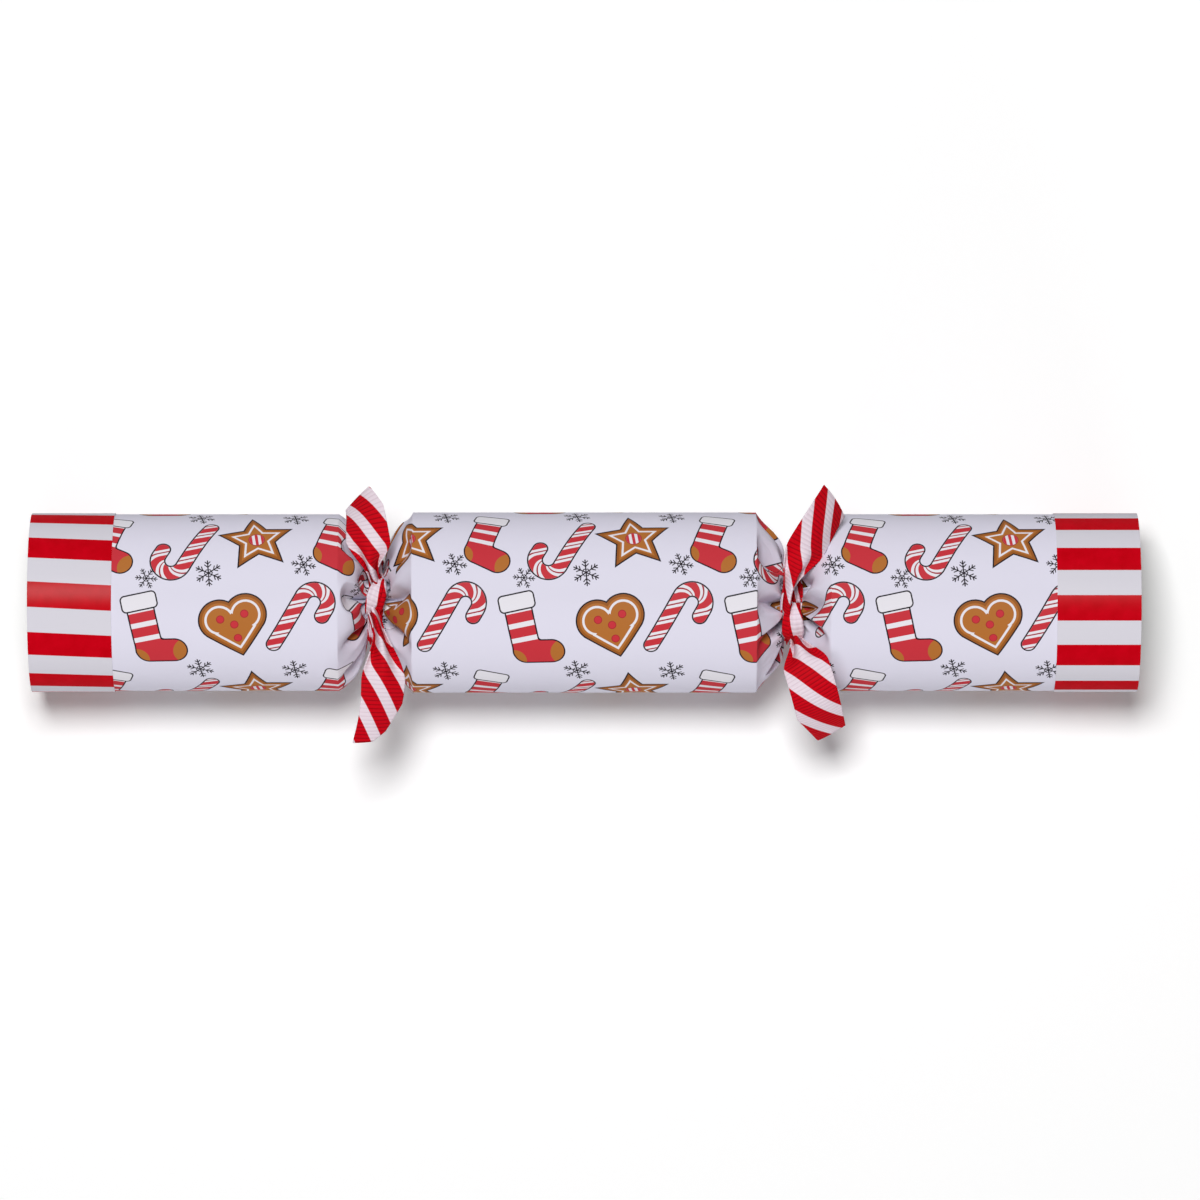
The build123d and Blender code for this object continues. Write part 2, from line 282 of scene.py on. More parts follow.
def finer(points):
    """Twice as many rows and columns: each new point is 9/16 of its two neighbours less 1/16 of the
    next two."""
    before, after, beyond = (np.roll(points, shift, 1) for shift in (1, -1, -2))
    between = (9 * (points + after) - before - beyond) / 16
    wide = np.stack([points, between], 2).reshape(len(points), -1, 3)
    padded = np.concatenate([2 * wide[:1] - wide[1:2], wide, 2 * wide[-1:] - wide[-2:-1]])
    between = (9 * (padded[1:-2] + padded[2:-1]) - padded[:-3] - padded[3:]) / 16
    tall = np.empty((2 * len(wide) - 1, wide.shape[1], 3))
    tall[::2] = wide
    tall[1::2] = between
    return tall


def cell_sides(points):
    """Middle and unit normal of each square of a grid that is closed round the neck."""
    beside = np.roll(points, -1, 1)
    middle = (points[:-1] + points[1:] + beside[:-1] + beside[1:]) / 4
    normal = np.cross(beside[1:] - points[:-1], beside[:-1] - points[1:])
    return middle, unit(normal)


def creased(points, likeness, rounds, steps):
    """Flatten a grid into facets with sharp creases between them, as stiff paper folds. Each square's
    normal is averaged with those neighbours that face nearly the same way, within the likeness, and then
    the points move until their squares lie square to these normals."""
    facing = cell_sides(points)[1]
    rows = np.arange(len(facing))
    for _ in range(rounds):
        total = np.zeros_like(facing)
        for row in (-1, 0, 1):
            near = facing[np.clip(rows + row, 0, len(rows) - 1)]
            for column in (-1, 0, 1):
                other = np.roll(near, column, 1)
                alike = np.exp(-((facing - other) ** 2).sum(-1, keepdims=True) / (2 * likeness**2))
                total += alike * other
        facing = unit(total)
    for _ in range(steps):
        middle = cell_sides(points)[0]
        move = np.zeros_like(points)
        for row in (0, 1):
            for column in (0, 1):
                side, away = np.roll(facing, column, 1), np.roll(middle, column, 1)
                part = slice(row, row + len(side))
                move[part] += side * (side * (away - points[part])).sum(-1, keepdims=True)
        points = points + 0.25 * np.pad(move[1:-1], ((1, 1), (0, 0), (0, 0)))
    return points


def gathered_neck(seed, pleats):
    """Paper of one neck, from the barrel's rim at -x to the end's rim at +x. It starts as a tube with
    shallow uneven waves, is drawn in on a coarse grid, and settles and creases on two finer ones."""
    chance = np.random.default_rng(seed)
    rows, columns = 23, 84
    along = np.linspace(-neck_paper / 2, neck_paper / 2, rows)[:, None]
    turn = np.arange(columns)[None] * 2 * np.pi / columns
    wave = pleats * turn
    for count in (1, 2, 3, 4):
        wave = wave + chance.normal(0, 1.2 / count) * np.sin(count * turn + chance.uniform(0, 2 * np.pi))
    depth = 1.0 + 0.35 * np.sin(2 * turn + chance.uniform(0, 2 * np.pi))
    depth = depth + 0.25 * np.sin(3 * turn + chance.uniform(0, 2 * np.pi))
    lean = 0.025 * along * np.sin(turn + chance.uniform(0, 2 * np.pi))
    middle = np.exp(-((along / (neck_paper / 4)) ** 2))
    round_tube = np.where(along < 0, barrel_radius, end_radius)
    radius = round_tube - 1.5 * middle * (1 + depth * np.sin(wave + lean))
    radius[[0, -1]] = [[barrel_radius], [end_radius]]
    points = np.stack([along + 0 * turn, radius * np.sin(turn), radius * np.cos(turn)], -1)
    row_step, column_step = neck_paper / (rows - 1), girth / columns
    points = settle_paper(points, row_step, column_step, closing=True, stiffness=0.1, steps=2500)
    for stiffness, steps in ((0.03, 400), (0.01, 60)):
        points = finer(points)
        row_step, column_step = row_step / 2, column_step / 2
        points = settle_paper(
            points, row_step, column_step, closing=False, stiffness=stiffness, steps=steps,
        )
        points = creased(points, likeness=0.24, rounds=16, steps=20)
    return np.roll(points, -round(seam_at / (2 * np.pi) * points.shape[1]), 1)


def placed_neck(neck, paper, side):
    """Points of a neck in the cracker's own place, at lengths of paper from the barrel's rim, one length
    for each row and column."""
    place = paper / neck_paper * (len(neck) - 1)
    row = np.clip(place.astype(int), 0, len(neck) - 2)
    share = (place - row)[..., None]
    column = np.arange(neck.shape[1])[None]
    return neck[row, column] * (1 - share) + neck[row + 1, column] * share + (side * tie_middle, 0, 0)


def tube_rows(places, radius, columns):
    """Circles of paper at places along the axis, with column 0 at the seam."""
    turn = seam_at + np.arange(columns)[None] * 2 * np.pi / columns
    along = np.asarray(places)[:, None] + 0 * turn
    return np.stack([along, radius * np.sin(turn) + 0 * along, radius * np.cos(turn) + 0 * along], -1)


def lapped(points, along, lap, lift):
    """Close a rolled sheet with a lap: its first columns come again, lifted off the first layer along
    the surface's normal, with a short ramp up to them. Gives the points and the printed side's map."""
    columns = points.shape[1]
    ramp_columns = 10
    step = girth / columns
    normal = unit(np.cross(np.gradient(points, axis=0), np.roll(points, -1, 1) - np.roll(points, 1, 1)))
    column = np.arange(columns + round(lap / step) + 1)
    rise = lift * smooth((column - columns) / ramp_columns + 1)
    order = column % columns
    rolled = points[:, order] + normal[:, order] * rise[None, :, None]
    printed = np.stack([along[:, order], np.broadcast_to(column * step, rolled.shape[:2])], -1)
    return rolled, printed


def grid_faces(rows, columns, first=0):
    """Corner numbers of a grid's squares, row by row, turned so that they face away from row x column."""
    corner = first + np.arange(rows * columns).reshape(rows, columns)
    square = [corner[:-1, :-1], corner[1:, :-1], corner[1:, 1:], corner[:-1, 1:]]
    return np.stack(square, -1).reshape(-1, 4)


def new_object(name, data):
    """New object in the scene, of a mesh, a lamp or a camera."""
    thing = bpy.data.objects.new(name, data)
    bpy.context.scene.collection.objects.link(thing)
    return thing


def new_piece(name, points, faces, finishes):
    """New smooth object from points in millimetres and the corner numbers of its faces."""
    mesh = bpy.data.meshes.new(name)
    mesh.from_pydata(points * MM, [], faces)
    for finish in finishes:
        mesh.materials.append(finish)
    mesh.shade_smooth()
    return new_object(name, mesh)


def new_sheet(name, grids, thickness, finishes, inside=0, edge=0):
    """Object of one or more grids, each of points in millimetres and a flat map of them. A Solidify
    modifier gives it its thickness under the grid, with finishes for the inside and for the edges."""
    points = np.concatenate([grid.reshape(-1, 3) for grid, flat in grids])
    flats = np.concatenate([flat.reshape(-1, 2) for grid, flat in grids])
    shapes = [grid.shape[:2] for grid, flat in grids]
    starts = np.cumsum([0] + [rows * columns for rows, columns in shapes])
    faces = np.concatenate([grid_faces(*shape, first) for shape, first in zip(shapes, starts)])
    sheet = new_piece(name, points, faces, finishes)
    corners = flats[faces.ravel()].astype(np.float32)
    sheet.data.uv_layers.new(name="flat").data.foreach_set("uv", corners.ravel())
    wall = sheet.modifiers.new("thickness", "SOLIDIFY")
    wall.thickness = thickness * MM
    wall.offset = -1
    wall.material_offset = inside
    wall.material_offset_rim = edge
    return sheet


def stand_for(piece, node, body):
    """Let a piece take a CAD node's place on its body: the node is hidden and the piece is hung from the
    body.
    """
    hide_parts(node)
    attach(piece, body)


def lay_out(width, length, under):
    """Turn a sheet's flat size in millimetres to metres, and keep nothing. What it lies on is not used."""
    width * MM
    length * MM


def flat_map(tree):
    """Place of a point on the flat sheet, in millimetres."""
    return put(tree, "UVMap", uv_map="flat")


def join(x, y):
    """The place with these two coordinates."""
    return put(x.tree, "CombineXYZ", x, y, 0.0)


def petals(place, count):
    """The place folded into half of one of count equal sectors round the middle."""
    half = np.pi / count
    x, y = place.split()
    angle = abs(x.step("ARCTAN2", y).step("WRAP", half, -half))
    away = place.step("LENGTH")
    return join(away * angle.step("SINE"), away * angle.step("COSINE"))


def disc(place, centre, radius):
    """Distance to a disc."""
    return place.step("DISTANCE", (*centre, 0)) - radius


def bar(place, start, end, radius):
    """Distance to a straight bar with round ends."""
    run = np.subtract(end, start)
    away = place - (*start, 0)
    share = away.step("DOT_PRODUCT", (*(run / run.dot(run)), 0)).step("ADD", 0.0, use_clamp=True)
    nearest = put(place.tree, "VectorMath", (*run, 0), share, operation="SCALE")
    return away.step("DISTANCE", nearest) - radius


def block(place, centre, half, corner):
    """Distance to a rectangle with round corners."""
    past = abs(place - (*centre, 0)) - (half[0] - corner, half[1] - corner, 0)
    return past.step("MAXIMUM", (0, 0, 0)).step("LENGTH") - corner


def stripes(along, pitch, share):
    """Distance to stripes that repeat each pitch and cover a share of it."""
    return along.step("PINGPONG", pitch / 2) - share * pitch / 2


class Motif:
    """A printed motif drawn with shader nodes in a group. Shapes are signed distances in millimetres,
    below 0 inside, and inks are painted over each other where a distance is below 0."""

    def __init__(self, name):
        self.tree = bpy.data.node_groups.new(name, "ShaderNodeTree")
        for socket, way, kind in (
            ("Place", "INPUT", "Vector"), ("Ink", "OUTPUT", "Color"), ("Cover", "OUTPUT", "Float"),
        ):
            self.tree.interface.new_socket(socket, in_out=way, socket_type="NodeSocket" + kind)
        self.place = Shade(self.tree, self.tree.nodes.new("NodeGroupInput").outputs["Place"])
        self.x, self.y = self.place.split()
        self.ink, self.cover = (0.0, 0.0, 0.0, 1.0), 0.0

    def paint(self, distance, ink):
        """Paint a shape, with an edge a twelfth of a millimetre soft."""
        mask = distance.step("MULTIPLY_ADD", -12.0, 0.5, use_clamp=True)
        self.ink = mask.blend(self.ink, ink)
        self.cover = mask.step("MAXIMUM", self.cover)

    def outlined(self, distance, line, line_ink, ink):
        """Paint a shape with a drawn line round it."""
        self.paint(distance - line, line_ink)
        self.paint(distance, ink)

    def done(self):
        """The finished group."""
        output = self.tree.nodes.new("NodeGroupOutput")
        self.ink.feed(output, "Ink")
        self.cover.feed(output, "Cover")
        return self.tree


ink_black = tint(30, 24, 32)
ink_red = tint(198, 52, 62)
ink_dark_red = tint(162, 36, 48)
ink_white = tint(230, 227, 234)
ink_ginger = tint(178, 110, 50)
ink_dark_ginger = tint(152, 90, 38)
drawn_line = 0.4


def candy_cane():
    """A striped cane: a straight shank that bends over in a half circle to a short tip."""
    motif = Motif("candy_cane")
    bend, shank, tip, half_width = 3.7, 16.0, 2.2, 1.8
    pitch = 5.0
    place = motif.place - (0, 6, 0)
    x, y = place.split()
    above = y.step("GREATER_THAN", 0.0)
    left = x.step("LESS_THAN", 0.0)
    ring = place.step("LENGTH") - bend
    leg = abs(x) - bend
    past = (y * -1.0 - (left * (shank - tip) + tip)).step("MAXIMUM", 0.0)
    distance = above.choose(join(leg, past).step("LENGTH"), abs(ring)) - half_width
    straight = left.choose(np.pi * bend - y, y)
    turned = y.step("ARCTAN2", x * -1.0) * bend
    slanted = above.choose(leg, ring) * 0.9 + above.choose(straight, turned)
    motif.outlined(distance, drawn_line, ink_black, ink_white)
    motif.paint(distance & stripes(slanted, pitch, 0.5), ink_red)
    motif.paint(distance & stripes(slanted + pitch / 2, pitch, 0.1), ink_dark_red)
    return motif.done()


def biscuit(motif, distance, iced, icing):
    """Paint a ginger biscuit: a browned edge, a lighter middle, and a line of icing inside the edge."""
    motif.outlined(distance, drawn_line, ink_black, ink_dark_ginger)
    motif.paint(distance + 0.7, ink_ginger)
    motif.paint(abs(distance + iced) - icing, ink_white)


def ginger_heart():
    """A heart biscuit: a square on its corner with a half circle on each upper side, iced inside."""
    motif = Motif("ginger_heart")
    side, diagonal = 5.2, 0.7071
    x, y = abs(motif.x), motif.y
    place = join(x, y)
    square = (x + abs(y)) * diagonal - side
    cheek = disc(place, (diagonal * side, diagonal * side), side)
    biscuit(motif, (square | cheek) - 0.3, 1.7, 0.32)
    for centre in ((0, -2.4), (0, 1.6), (3.4, 3.9)):
        motif.outlined(disc(place, centre, 0.95), 0.2, ink_dark_red, ink_red)
    return motif.done()


def ginger_star():
    """A five-pointed star biscuit with an iced line and a striped middle."""
    motif = Motif("ginger_star")
    tip, notch = 10.0, 4.9
    edge = np.array([notch * np.sin(np.pi / 5), notch * np.cos(np.pi / 5) - tip])
    facing = np.array([-edge[1], edge[0]]) / np.hypot(*edge)
    away = petals(motif.place, 5) - (0, tip, 0)
    biscuit(motif, away.step("DOT_PRODUCT", (*facing, 0)), 1.5, 0.28)
    middle = disc(motif.place, (0, 0), 2.0)
    motif.outlined(middle, 0.25, ink_dark_red, ink_white)
    motif.paint(middle & stripes(motif.x, 1.6, 0.5), ink_red)
    return motif.done()


def stocking():
    """A knitted stocking: a leg and a foot that run together, with bands, a toe and a turned-down top."""
    motif = Motif("stocking")
    leg = block(motif.place, (-1.6, 2.0), (3.5, 7.5), 0.8)
    foot = bar(motif.place, (-1.7, -5.2), (4.8, -6.4), 3.4)
    distance = leg.step("SMOOTH_MIN", foot, 1.2)
    motif.outlined(distance, drawn_line, ink_black, ink_red)
    above_foot = -3.2 - motif.y
    motif.paint(distance & stripes(motif.y + 1.2, 4.2, 0.34) & above_foot, ink_white)
    for centre, radius in (((8.6, -7.4), 4.2), ((-6.0, -7.4), 3.6)):
        motif.paint(distance & disc(motif.place, centre, radius), ink_ginger)
    cuff = block(motif.place, (-1.6, 9.4), (4.7, 2.1), 1.0)
    motif.outlined(cuff, drawn_line, ink_black, ink_white)
    return motif.done()


def snow_crystal():
    """A small line-drawn snow crystal: six arms, each with two pairs of twigs, round a hexagon."""
    motif = Motif("snow_crystal")
    place = petals(motif.place, 6)
    distance = bar(place, (0, 0), (0, 3.7), 0.17)
    for start, end in (((0, 1.7), (0.85, 2.5)), ((0, 2.7), (0.65, 3.35))):
        distance = distance | bar(place, start, end, 0.15)
    hexagon = abs(place.split()[1] - 0.95) - 0.13
    motif.paint(distance | hexagon, ink_black)
    return motif.done()


# Where each motif is printed in one repeat of the paper: along and round in millimetres, its turn in
# degrees, and its size
print_repeat = (62.0, girth / 3)
cane, heart, star, sock, crystal = candy_cane(), ginger_heart(), ginger_star(), stocking(), snow_crystal()
printed_motifs = [
    (heart, 8.0, 9.5, 14.0, 1.0),
    (cane, 26.5, 12.0, -30.0, 1.0),
    (sock, 47.0, 8.5, 12.0, 1.0),
    (star, 13.5, 36.5, 8.0, 1.0),
    (sock, 35.5, 36.0, -16.0, 0.95),
    (cane, 55.0, 34.5, 152.0, 1.0),
    (crystal, 0.5, 25.5, 5.0, 1.0),
    (crystal, 26.5, 28.0, 20.0, 0.9),
    (crystal, 60.0, 48.0, 12.0, 1.0),
    (crystal, 24.0, 47.5, 9.0, 1.0),
    (crystal, 45.5, 24.0, 25.0, 0.8),
]


def printed_finish():
    """Satin paper: a lavender-white ground with the motifs over it, each repeated by wrapping the map
    about its own place. It has the faint unevenness of pasted paper, and sharp creases where the sheet
    is gathered."""
    material, shader, place = new_finish("printed_paper", Roughness=0.6, Specular_IOR_Level=0.12)
    flat = flat_map(place.tree)
    half = np.array([*print_repeat, 2.0]) / 2
    colour = tint(222, 219, 234)
    for motif, along, around, turn, size in printed_motifs:
        wrapped = (flat - (along, around, 0)).step("WRAP", half, -half)
        turned = put(flat.tree, "Mapping", wrapped, None, (0, 0, np.radians(turn)), (size, size, 1),
                     vector_type="TEXTURE")
        ink = put(flat.tree, "Group", turned, node_tree=motif)
        colour = ink.output("Cover").blend(colour, ink)
    colour.feed(shader, "Base Color")
    waves = place.noise(90.0, 3.0, 0.5)
    tooth = place.noise(4000.0, 2.0, 0.6)
    crease = abs((flat * (0.10, 0.20, 1.0)).noise(1.0, 1.5, 0.5) - 0.5)
    gather = put(flat.tree, "Attribute", attribute_name="gather").output("Fac")
    grain_bump(shader, crease * gather * 4.0 + tooth * 0.03 + waves, 0.35, 0.35)
    return material


def clouded(name, dark, light, noise, ends, bump, **sockets):
    """Finish in two tones by a noise that also bumps it: dark at the first end of the noise's levels and
    light at the last."""
    material, shader, place = new_finish(name, **sockets)
    clouds = place.noise(*noise)
    clouds.ramp(*ends).blend(dark, light).feed(shader, "Base Color")
    grain_bump(shader, clouds, *bump)
    return material


def plain_paper(name, colour, roughness):
    """The unprinted side or the cut edge of a paper: a pale tone with small clouds of fibre."""
    darker = (*(0.86 * channel for channel in colour[:3]), 1.0)
    return clouded(name, darker, colour, (700.0, 5.0, 0.65), (0.3, 0.7), (0.3, 0.06), Roughness=roughness)


wrapper_finishes = [
    printed_finish(),
    plain_paper("paper_inside", tint(236, 234, 238), 0.7),
    plain_paper("paper_edge", tint(244, 242, 244), 0.9),
]
right_neck = gathered_neck(seed=11, pleats=10)
left_neck = gathered_neck(seed=5, pleats=10) * (-1, 1, 1)
neck_columns = right_neck.shape[1]
chance = np.random.default_rng(7)


def tear_line():
    """Length of paper from the barrel's rim to the tear, wandering and ragged from column to column."""
    ragged = chance.normal(0, 1, neck_columns)
    waves = np.fft.fft(chance.normal(0, 1, neck_columns))
    waves[tear_waves:] = 0
    wander = np.real(np.fft.ifft(waves))
    return tear_paper + tear_jag * (0.35 * ragged + 0.8 * wander / wander.std())


right_tear, left_tear = tear_line(), tear_line()
to_tear = np.linspace(0, 1, 32)[:, None]
past_tear = np.linspace(0, 1, 58)[:, None]
by_rim = np.array([0.15, 0.4, 0.9, 2.0])
barrel_places = np.concatenate([-barrel_rim + by_rim, np.linspace(-barrel_rim + 5, barrel_rim - 5, 18),
                                barrel_rim - by_rim[::-1]])
end_places = np.concatenate([end_rim + by_rim, np.linspace(end_rim + 5, open_end, 17)])


def wrapper_section(section, body, rows, along, length):
    """One of the three sections that the wrapper tears into, from its rows of points along +X. How much
    each point is gathered is kept with it, for the finish to crease by."""
    points = np.concatenate(rows)
    points[..., 2] += axis_height
    printed = np.concatenate([np.broadcast_to(part, (len(part), neck_columns)) for part in along])
    rolled, printed = lapped(points, printed, lap_width, lap_lift)
    sheet = new_sheet(section + "_wrapper_sheet", [(rolled, printed)], sheet_thickness, wrapper_finishes,
                      inside=1, edge=2)
    reach = np.hypot(rolled[..., 1], rolled[..., 2] - axis_height)
    gather = np.clip((end_radius - gather_start - reach) / gather_depth, 0, 1).astype(np.float32)
    sheet.data.attributes.new("gather", "FLOAT", "POINT").data.foreach_set("value", gather.ravel())
    stand_for(sheet, section + "_wrapper", body)
    lay_out(girth + lap_width, length, section + "_card_tube")


right_short, left_short = to_tear * right_tear, to_tear * left_tear
wrapper_section(
    "barrel", "barrel",
    [placed_neck(left_neck, left_short, -1)[::-1], tube_rows(barrel_places, barrel_radius, neck_columns),
     placed_neck(right_neck, right_short, 1)],
    [-barrel_rim - left_short[::-1], barrel_places[:, None], barrel_rim + right_short],
    2 * (barrel_rim + tear_paper),
)
past_neck = neck_paper - (end_rim - barrel_rim)
torn_necks = [("right", 1, right_neck, right_tear), ("left", -1, left_neck, left_tear)]
for end_name, side, neck, tear in torn_necks:
    neck_rows = tear + past_tear * (neck_paper - tear)
    end_rows = [placed_neck(neck, neck_rows, side), tube_rows(side * end_places, end_radius, neck_columns)]
    end_along = [side * (barrel_rim + neck_rows), side * (end_places[:, None] + past_neck)]
    wrapper_section(
        end_name, end_name + "_end",
        [part[::side] for part in end_rows[::side]], [part[::side] for part in end_along[::side]],
        open_end - end_rim + neck_paper - tear_paper,
    )


# Striped bands
# A strip of glossy red and white striped paper, glued round each open end over the wrapper and flush
# with the tube's rim, with its lap underneath.
band_low, band_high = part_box("right_striped_band")
band_width = (band_high.x - band_low.x) / MM
band_stand_off = 0.29
band_lap = 8.0
stripe_width = 7.03
stripe_blur = 0.06
stripe_red = tint(202, 2, 24)
stripe_deep_red = tint(188, 0, 16)
stripe_white = tint(214, 211, 220)


def band_finish(name, first_red, skew):
    """Stripes along the cracker: red where the map round the band, from the seam, is within a stripe of
    the first red one's middle, under a light gloss with the paper's faint waves."""
    material, shader, place = new_finish(name, Roughness=0.6, Specular_IOR_Level=0.0, Coat_Weight=0.12,
                                         Coat_Roughness=0.3)
    along, around = flat_map(place.tree).split()
    wave = (along * skew + around - first_red).step("PINGPONG", stripe_width)
    white = wave.ramp(stripe_width / 2 - stripe_blur, stripe_width / 2 + stripe_blur)
    red = place.noise(260.0, 4.0, 0.6).ramp(0.3, 0.7).blend(stripe_deep_red, stripe_red)
    white.blend(red, stripe_white).feed(shader, "Base Color")
    grain_bump(shader, place.noise(110.0, 3.0, 0.5), 0.3, 0.3)
    return material


def striped_band(end_name, first_place, first_red, skew):
    """A band of paper rolled round an end, with its stripes by their turn from the top."""
    name = end_name + "_striped_paper"
    columns = 240
    by_edge = 0.06
    inner = np.linspace(1, band_width - 1, 22)
    places = first_place + np.concatenate([[0, by_edge], inner, [band_width - by_edge, band_width]])
    points = tube_rows(places, end_radius + band_stand_off, columns)
    points[..., 2] += axis_height
    from_top = (2 * np.pi - seam_at) / (2 * np.pi) * girth
    middle = from_top + np.radians(first_red) * girth / (2 * np.pi)
    along = np.broadcast_to((places - places.mean())[:, None], points.shape[:2])
    band = new_sheet(name, [lapped(points, along, band_lap, sheet_thickness)], sheet_thickness,
                     [band_finish(name, middle, skew), *wrapper_finishes[1:]], inside=1, edge=2)
    stand_for(band, end_name + "_striped_band", end_name + "_end")
    lay_out(band_width, girth + band_lap, end_name + "_wrapper_sheet")


striped_band("left", -open_end, first_red=4.2, skew=0.05)
striped_band("right", open_end - band_width, first_red=-3.4, skew=0.0)


# Snap
# Two strips of brown card that overlap in the barrel, a grey charge pad and a rust-red friction pad between
# them, and a paper sleeve pasted round the overlap.
def pad_finish(name, light, dark, grit):
    """Gritty dried paste: dark and light grains of one size with a rough tooth."""
    material, shader, place = new_finish(name, Roughness=0.95)
    grains = put(place.tree, "TexVoronoi", place, grit)
    grains.ramp(0.1, 0.6).blend(dark, light).feed(shader, "Base Color")
    grain_bump(shader, grains, 0.8, 0.1)
    return material


snap_card = card_finish("snap_card", tint(214, 190, 150), tint(178, 150, 108), 1500.0)
refinish("left_snap_strip", snap_card)
refinish("right_snap_strip", snap_card)
refinish("snap_charge_pad", pad_finish("snap_charge", tint(132, 132, 140), tint(84, 84, 92), 2600.0))
refinish("snap_friction_pad", pad_finish("snap_friction", tint(134, 92, 74), tint(86, 52, 40), 3000.0))
refinish("snap_sleeve", plain_paper("sleeve_paper", tint(228, 220, 198), 0.8))


# Paper crown
# A hat of thin red tissue with one zigzag edge, rolled up for the barrel, and a rubber band that keeps
# the roll shut.
crown_point_width = 14.0
crown_point_depth = 9.0
tissue_thickness = 0.12
roll_gap = 0.05
rubber_wander = 0.25


def roll_place(node):
    """Middle of a rolled piece across the cracker, its outer radius, and its two ends along X."""
    low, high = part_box(node)
    middle = np.array([(low.y + high.y) / 2 / MM, (low.z + high.z) / 2 / MM])
    return middle, (high.z - low.z) / 2 / MM, low.x / MM, high.x / MM


def rolled_sheet(name, node, body, finish, thickness, turns, pitch, columns, rows, point_depth=0.0):
    """A spiral of paper in a CAD roll's place: its radius falls by the pitch in each turn. Its last edge
    along X can be cut in a zigzag."""
    middle, radius, first, last = roll_place(node)
    turn = np.linspace(0, 2 * np.pi * turns, columns)
    reach = radius - roll_gap - pitch * turn / (2 * np.pi)
    steps = np.hypot(np.diff(reach), (reach[1:] + reach[:-1]) / 2 * np.diff(turn))
    spiral = np.concatenate([[0], np.cumsum(steps)])
    fall = np.abs((spiral / crown_point_width) % 1 - 0.5) * 2
    along = first + np.linspace(0, 1, rows)[:, None] * (last - point_depth * fall - first)
    across = middle[0] + reach * np.sin(turn) + 0 * along
    height = middle[1] + reach * np.cos(turn) + 0 * along
    flat = np.stack([along, np.broadcast_to(spiral, along.shape)], -1)
    sheet = new_sheet(name, [(np.stack([along, across, height], -1), flat)], thickness, [finish])
    stand_for(sheet, node, body)
    lay_out(last - first, spiral[-1], "barrel_card_tube")


crown_tissue = clouded("crown_tissue", tint(168, 18, 40), tint(206, 40, 60), (320.0, 6.0, 0.7),
                       (0.3, 0.7), (0.6, 0.25), Roughness=0.75, Sheen_Weight=0.15)
rolled_sheet("rolled_tissue_crown", "paper_crown", "crown", crown_tissue, tissue_thickness,
             turns=4.5, pitch=0.55, columns=420, rows=24, point_depth=crown_point_depth)


def rubber_ring():
    """A flat rubber band round the roll: a rounded rectangle carried round a circle, which wanders a
    little along X. Gives its points and the squares between them, closed both ways."""
    low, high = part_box("crown_rubber_band")
    crown_middle, crown_radius = roll_place("paper_crown")[:2]
    half_width = (high.x - low.x) / 2 / MM
    wall = (high.z - low.z) / 2 / MM - crown_radius - roll_gap
    turn = np.linspace(0, 2 * np.pi, 145)[:-1, None]
    section = np.linspace(0, 2 * np.pi, 25)[None, :-1]
    side = np.abs(np.cos(section)) ** 0.5 * np.sign(np.cos(section))
    top = np.abs(np.sin(section)) ** 0.5 * np.sign(np.sin(section))
    reach = crown_radius + roll_gap + wall / 2 + wall / 2 * top
    along = rubber_wander * np.sin(2 * turn + 0.5) + (half_width - rubber_wander) * side
    across = crown_middle[0] + reach * np.sin(turn)
    points = np.stack([along, across, crown_middle[1] + reach * np.cos(turn)], -1)
    corner = np.arange(along.size).reshape(along.shape)
    ahead, beside = np.roll(corner, -1, 0), np.roll(corner, -1, 1)
    faces = np.stack([corner, beside, np.roll(ahead, -1, 1), ahead], -1)
    return points.reshape(-1, 3), faces.reshape(-1, 4)


band_rubber = clouded("band_rubber", tint(186, 140, 92), tint(214, 176, 126), (900.0, 4.0, 0.6),
                      (0.0, 1.0), (0.4, 0.08), Roughness=0.5)
rubber_band = new_piece("crown_band", *rubber_ring(), [band_rubber])
stand_for(rubber_band, "crown_rubber_band", "crown")


# Motto slip
# A slip of white paper that is rolled up small beside the toy. Its printed side is inside the roll.
motto_paper = plain_paper("motto_paper", tint(243, 240, 232), 0.65)
rolled_sheet("rolled_motto", "motto_slip", "motto", motto_paper, sheet_thickness,
             turns=2.4, pitch=0.6, columns=240, rows=16)


# Toy top
# A small spinning top, turned from pale wood, with two painted rings on its disc and a red lacquered peg
# pushed through it.
def turned_wood(name, light, dark, gloss, bump):
    """Turned wood: growth rings across the piece, drawn out along X. Gives the material, its shader, the
    place on the piece, and the colour of the rings."""
    material, shader, place = new_finish(name, Roughness=gloss, Coat_Weight=0.2)
    rings = put(place.tree, "TexWave", place * (0.12, 1.0, 1.0), 260.0, 6.0, 3.0, 1.5,
                wave_type="BANDS", bands_direction="DIAGONAL").output("Fac")
    colour = rings.blend(dark, light)
    colour.feed(shader, "Base Color")
    grain_bump(shader, rings, bump, 0.05)
    return material, shader, place, colour


top_middle = roll_place("gift_top_disc")[0] * MM
top_finish, top_shader, top_place, top_colour = turned_wood(
    "top_wood", tint(222, 186, 134), tint(190, 148, 98), 0.45, 0.2)
top_reach = ((top_place - (0.0, *top_middle)) * (0.0, 1 / MM, 1 / MM)).step("LENGTH")
for ring_radius, ring_ink in ((5.4, tint(190, 24, 34)), (7.4, tint(44, 92, 60))):
    ring_mask = abs(top_reach - ring_radius).ramp(0.45, 0.55, 1.0, 0.0)
    top_colour = ring_mask.blend(top_colour, ring_ink)
top_colour.feed(top_shader, "Base Color")
refinish("gift_top_disc", top_finish)
refinish("gift_top_peg", turned_wood("peg_wood", tint(196, 32, 36), tint(166, 18, 24), 0.25, 0.15)[0])


